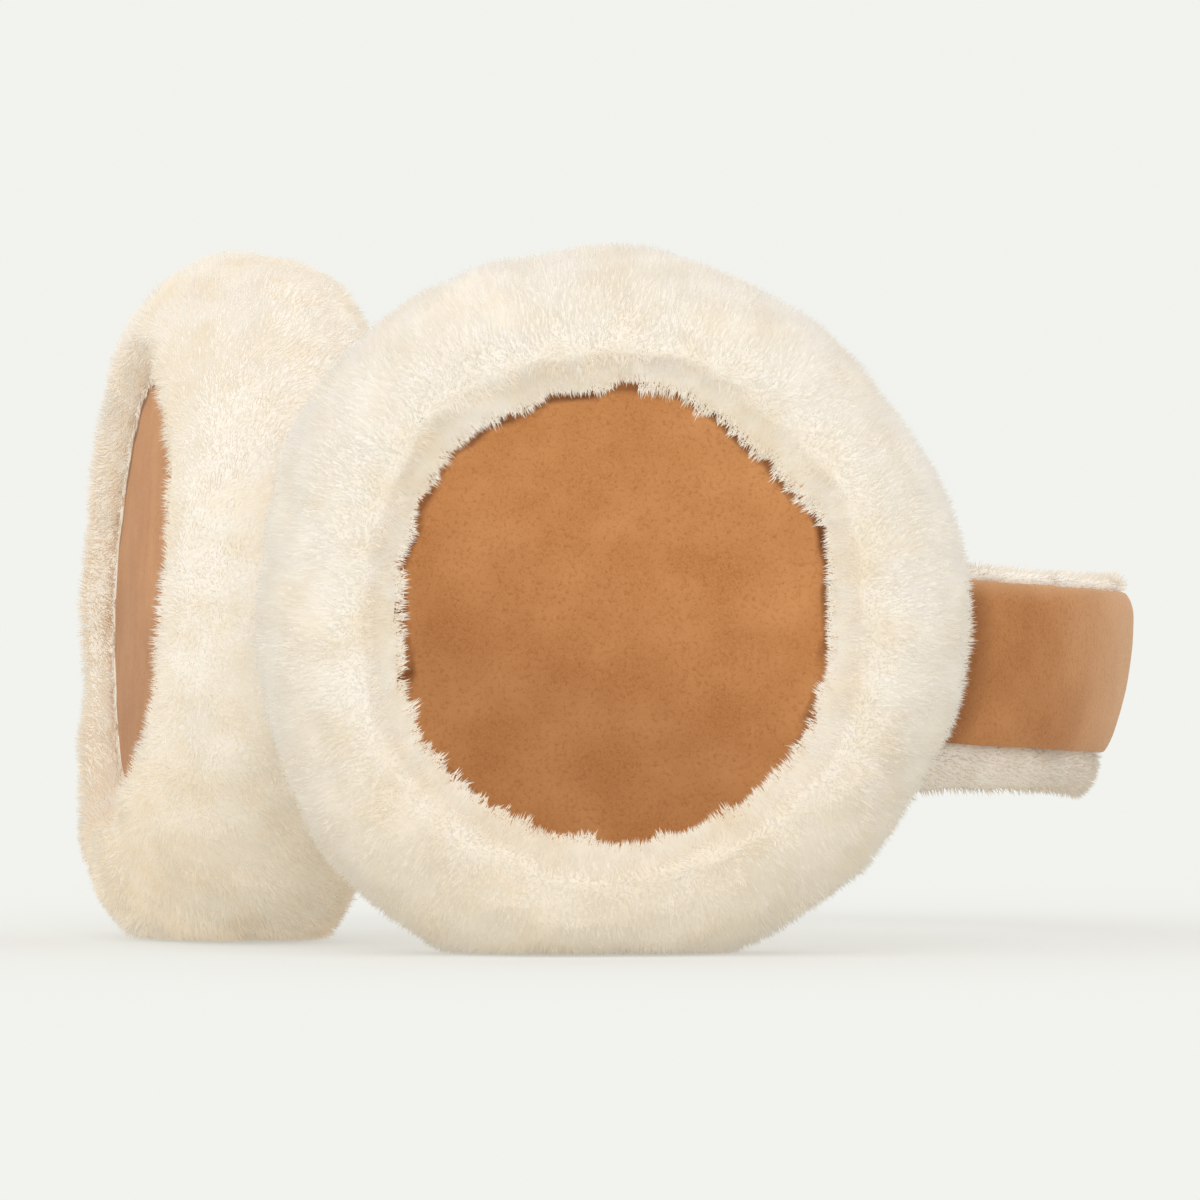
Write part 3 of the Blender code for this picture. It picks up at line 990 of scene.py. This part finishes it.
@dataclass
class SuedeFace:
    """The round suede face of a cup: softly domed, its edge running in under the roll."""

    node: str
    axes: CupAxes
    rings: int = 52
    steps: int = 128
    ripple: float = 0.22 * MM
    shade: float = 0.30

    def build(self, material: Material) -> None:
        """Makes the face and puts it in the solid's place."""
        piece = linked(self.node + "_suede", self.make_mesh())
        dress(piece, material)
        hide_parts(self.node)

    def make_mesh(self) -> Mesh:
        """Makes a closed thin disc on a polar grid, its front gently rippled.

        Returns:
            The disc, with the attributes shadow_and_tone, its painted shadow and shade, and
            wear_and_sheen, a paler rim under the fur.
        """
        axes = self.axes
        turns = np.linspace(0, 2 * np.pi, self.steps, endpoint=False)
        spokes = axes.spokes(turns)
        shares = np.sin(np.linspace(0, np.pi / 2, self.rings + 1)[1:]) ** 0.8
        rows = []
        for share in shares:
            base = axes.centre + share * axes.radius * spokes
            soft = self.ripple * (grain(base, 13 * MM) + 0.35 * grain(base, 4 * MM, 4.0))
            lift = axes.face(share * axes.radius) + soft * (1 - share**24)
            rows.append(base + lift[:, None] * axes.out)
        rows.append(rows[-1] - (axes.front - axes.back - axes.dome) * axes.out)
        poles = [axes.centre + axes.front * axes.out, axes.centre + axes.back * axes.out]
        points = np.vstack([*rows, *poles])
        pairs = [(i, (i + 1) % self.steps) for i in range(self.steps)]
        top, bottom, last = len(points) - 2, len(points) - 1, (len(rows) - 1) * self.steps
        faces = []
        for a in range(0, last, self.steps):
            b = a + self.steps
            faces += [(a + i, b + i, b + j, a + j) for i, j in pairs]
        faces += [(top, i, j) for i, j in pairs]
        faces += [(bottom, last + j, last + i) for i, j in pairs]
        mesh = bpy.data.meshes.new(self.node + "_suede")
        mesh.from_pydata(points.tolist(), [], faces)
        mesh.shade_smooth()
        radius, _, turn = axes.polar(points)
        # Painted shadow: a dark line just inside the fur's edge, strongest along the top and in the
        # clefts where the pile parts, and painted shade darkening the face towards its lower left.
        # Right at the edge, under the fur, the face is paler instead.
        edge = smooth_step(axes.edge_at(turn) - radius, 3.1 * MM, 2.2 * MM)
        upper = np.clip(0.6 + 0.4 * np.sin(turn) + 0.5 * grain(points, 6 * MM, 8.0), 0, 1)
        low = radius * (np.sin(turn) + 0.4 * np.cos(turn))
        lower = self.shade * smooth_step(low, 15 * MM, -25 * MM)
        cleft = axes.cleft_at(turn)
        rim = smooth_step(axes.edge_at(turn) - radius, 1.3 * MM, 0.5 * MM) * (1 - cleft)
        shadow_and_tone = np.maximum(edge * np.maximum(upper, cleft), lower)
        write_attribute(mesh, "shadow_and_tone", shadow_and_tone * (1 - rim))
        write_attribute(mesh, "wear_and_sheen", rim)
        return mesh


@dataclass
class SuedeStrip:
    """The headband's outer strip of suede: crowned over the padding, its edges turned in."""

    node: str
    cut_width: float = 25 * MM
    cut_length: float = 286 * MM
    levels: int = 2
    crease: float = 0.55
    sharp_angle: float = 50.0
    flat_angle: float = 30.0
    ripple: float = 0.16 * MM
    turn_in: float = 0.9 * MM
    turn_in_below: float = 0.35 * MM
    turn_width: float = 3.5 * MM
    sheen_from: float = 68 * MM
    sheen_to: float = 85 * MM
    edge_highlight: float = 0.75
    shade: float = 0.7
    shade_width: float = 10 * MM
    shade_rest: float = 0.18

    def build(self, material: Material) -> None:
        """Makes the strip and puts it in the solid's place."""
        piece = linked(self.node + "_nap", self.make_mesh())
        dress(piece, material)
        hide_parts(self.node)

    def make_mesh(self) -> Mesh:
        """Makes the solid's strip smooth and fine, its edges rounded and its face uneven.

        Returns:
            The strip, with the attributes shadow_and_tone, painted shade near the cups over a plain
            darker tone, and wear_and_sheen, painted sheen and highlight.
        """
        shell = welded_solids((self.node,))
        bmesh.ops.join_triangles(
            shell,
            faces=shell.faces,
            angle_face_threshold=math.radians(self.flat_angle),
            angle_shape_threshold=math.pi,
        )
        crease = shell.edges.layers.float.new("crease_edge")
        corners = []
        for edge in shell.edges:
            if edge.calc_face_angle(0.0) > math.radians(self.sharp_angle):
                edge[crease] = self.crease
                start, end = (v.co for v in edge.verts)
                corners += [start.lerp(end, share) for share in np.linspace(0, 1, 9)]
        cage = bpy.data.meshes.new(self.node + "_cage")
        shell.to_mesh(cage)
        shell.free()
        work = linked(self.node + "_cage", cage)
        fine = work.modifiers.new("fine", "SUBSURF")
        fine.levels = self.levels
        fine.render_levels = self.levels
        mesh = evaluated_mesh(work)
        bpy.data.objects.remove(work)
        mesh.name = self.node + "_nap"
        points = positions(mesh)
        uneven = grain(points, 12 * MM) + 0.4 * grain(points, 3.5 * MM, 6.0)
        points += self.ripple * normals(mesh) * uneven[:, None]
        upper = points[:, 2] > points[:, 2].mean()
        near = self.near_edge(points, corners) ** 2
        turned = np.where(upper, self.turn_in, self.turn_in_below) * near
        points -= turned[:, None] * unit(points * (1, 1, 0))
        move_to(mesh, points)
        # Painted sheen: the crown paler from sheen_from to sheen_to, and a painted highlight along
        # the upper turned-in edge.
        crown_sheen = smooth_step(points[:, 0], self.sheen_from, self.sheen_to)
        wear_and_sheen = np.maximum(crown_sheen, self.edge_highlight * upper * near)
        # Painted shade: darker near the cups; shade_rest is a plain darker tone over the rest of the
        # strip.
        gaps = [gap_to(cup, points, self.shade_width) for cup in ("near_cup_fur", "far_cup_fur")]
        shade = self.shade * smooth_step(np.minimum(*gaps), self.shade_width, 0.0)
        shadow_and_tone = np.maximum(shade, self.shade_rest)
        write_attribute(mesh, "wear_and_sheen", wear_and_sheen)
        write_attribute(mesh, "shadow_and_tone", shadow_and_tone * (1 - wear_and_sheen))
        mesh.shade_smooth()
        return mesh

    def near_edge(self, points: Array, corners: list[Vector]) -> Array:
        """How near points lie to the strip's edges.

        Args:
            points: One point in each row.
            corners: Points along the strip's edges.

        Returns:
            A share for each point, 1 on an edge and 0 from turn_width on.
        """
        tree = KDTree(len(corners))
        for index, corner in enumerate(corners):
            tree.insert(corner, index)
        tree.balance()
        gaps = np.array([tree.find(p)[2] for p in points])
        return 1 - np.minimum(gaps / self.turn_width, 1.0)


@dataclass
class Studio:
    """The pale floor, the soft light and the camera of the photograph."""

    paper: Colour = (0.885, 0.893, 0.852)
    floor_colour: Colour = (0.474, 0.481, 0.445)
    floor_glow: float = 0.35
    sky: float = 1.05
    sun: float = 0.6
    sun_softness: float = 60.0
    sun_from: tuple[float, float, float] = (-0.25, -1.0, 0.50)
    floor_size: float = 40.0
    elevation: float = 0.6
    distance: float = 2.19
    pixels_per_metre: float = 6600.0
    image: float = 1200.0
    sensor: float = 36.0
    centre_pixel: tuple[float, float] = (613.0, 611.0)

    def build(self, target: Array) -> None:
        """Sets up the studio.

        Args:
            target: The near cup's centre, which centre_pixel shows.
        """
        scene = bpy.context.scene
        scene.view_settings.view_transform = "Standard"
        self.make_floor()
        self.make_light(scene)
        self.make_camera(scene, Vector(target))

    def make_floor(self) -> None:
        """A large level table of matte pale paper, lit a little from below."""
        half = self.floor_size / 2
        corners = [(-half, -half, 0), (half, -half, 0), (half, half, 0), (-half, half, 0)]
        mesh = bpy.data.meshes.new("floor")
        mesh.from_pydata(corners, [], [(0, 1, 2, 3)])
        floor = linked("floor", mesh)
        material, _, shader, _ = new_material("pale paper")
        glow = {"Emission Color": (1.0, 1.0, 1.0, 1.0), "Emission Strength": self.floor_glow}
        matte = {"Roughness": 1.0, "Specular IOR Level": 0.0}
        set_inputs(shader, {"Base Color": (*self.floor_colour, 1.0), **glow, **matte})
        mesh.materials.append(material)

    def make_light(self, scene: bpy.types.Scene) -> None:
        """An even pale sky and one soft sun from the upper left, in front."""
        world = bpy.data.worlds.new("studio")
        scene.world = world
        world.use_nodes = True
        build = ShaderBuilder(world.node_tree)
        shade = world.node_tree.nodes["Background"]
        set_inputs(shade, {"Color": (self.sky, self.sky, self.sky, 1.0)})
        paper = build.node("ShaderNodeBackground")
        set_inputs(paper, {"Color": (*self.paper, 1.0)})
        rays = build.node("ShaderNodeLightPath").outputs["Is Camera Ray"]
        either = build.node("ShaderNodeMixShader", {"Fac": rays})
        build.join(shade.outputs[0], either.inputs[1])
        build.join(paper.outputs[0], either.inputs[2])
        build.join(either.outputs[0], world.node_tree.nodes["World Output"].inputs["Surface"])
        lamp = bpy.data.lights.new("soft sun", "SUN")
        lamp.energy = self.sun
        lamp.angle = math.radians(self.sun_softness)
        holder = bpy.data.objects.new("soft sun", lamp)
        scene.collection.objects.link(holder)
        holder.rotation_euler = Vector(self.sun_from).to_track_quat("Z", "Y").to_euler()

    def make_camera(self, scene: bpy.types.Scene, target: Vector) -> None:
        """The photograph's camera: far away, nearly level, the near cup's centre at its pixel."""
        tilt = math.radians(self.elevation)
        ahead = Vector((0, math.cos(tilt), -math.sin(tilt)))
        up = Vector((1, 0, 0)).cross(ahead)
        aside = (self.image / 2 - self.centre_pixel[0]) / self.pixels_per_metre
        above = (self.centre_pixel[1] - self.image / 2) / self.pixels_per_metre
        aim = target + aside * Vector((1, 0, 0)) + above * up
        lens = bpy.data.cameras.new("camera")
        lens.sensor_width = self.sensor
        lens.lens = self.pixels_per_metre * self.distance * self.sensor / self.image
        lens.clip_end = 100.0
        camera = bpy.data.objects.new("camera", lens)
        scene.collection.objects.link(camera)
        look = (-ahead).to_track_quat("Z", "Y").to_matrix().to_4x4()
        camera.matrix_world = Matrix.Translation(aim - self.distance * ahead) @ look
        scene.camera = camera


def cup_fur(side: str, axes: CupAxes, outer: int, inner: int, fringe: int, seed: int) -> FurPiece:
    """Describes a cup's fur and its three piles.

    Args:
        side: near or far.
        axes: The cup's place.
        outer: The strands on the half away from the head.
        inner: The strands on the half towards the head.
        fringe: The strands round the suede face.
        seed: The first pile's seed, which the others' follow.

    Returns:
        The fur, ready to build.
    """
    cup = side + "_cup"
    short = {"length": 1.5 * MM, "width": 0.23 * MM}
    piles = (
        Pile(cup + "_pile_outer", outer, Region.OUTER, seed=seed),
        Pile(cup + "_pile_inner", inner, Region.INNER, seed=seed + 1),
        Pile(cup + "_pile_lip", fringe, Region.LIP, seed=seed + 2, **short),
    )
    return FurPiece(cup + "_fur", piles, BAND, face_node=cup + "_disc", axes=axes)


def main() -> None:
    """Builds the earmuffs piece by piece, then the studio."""
    logging.basicConfig(level=logging.INFO, format="%(name)s: %(message)s")
    noise.seed_set(NOISE_SEED)
    tree = PileTree()
    patches = WarmPatches()
    shearling = ShearlingFinish(patches)
    suede = SuedeFinish().material()
    head = np.zeros(3)
    near = CupAxes.of("near_cup_disc", "near_cup_fur", head)
    far = CupAxes.of("far_cup_disc", "far_cup_fur", head)
    near.clefts = NEAR_CLEFTS
    SuedeFace("near_cup_disc", near).build(suede)
    SuedeFace("far_cup_disc", far).build(suede)
    SuedeStrip("headband_suede").build(suede)
    cup_fur("near", near, 64000, 46000, 13500, seed=3).build(tree, shearling)
    cup_fur("far", far, 56000, 44000, 10500, seed=6).build(tree, shearling)
    FurPiece(
        node="headband_lining",
        piles=(Pile("headband_pile", 42000, length=1.45 * MM, stray=0.32, seed=9),),
        neighbours=BAND[:1],
        inset=0.9 * MM,
        lump=0.35 * MM,
        bare_gap=0.3 * MM,
        shaded=0.8,
        shaded_from=46 * MM,
        shaded_to=20 * MM,
    ).build(tree, ShearlingFinish(patches, "shaded cream", warm=(0.74, 0.69, 0.63)))
    Studio().build(near.centre - near.out * CUP_DEPTH)

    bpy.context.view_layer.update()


if __name__ == "__main__":
    main()
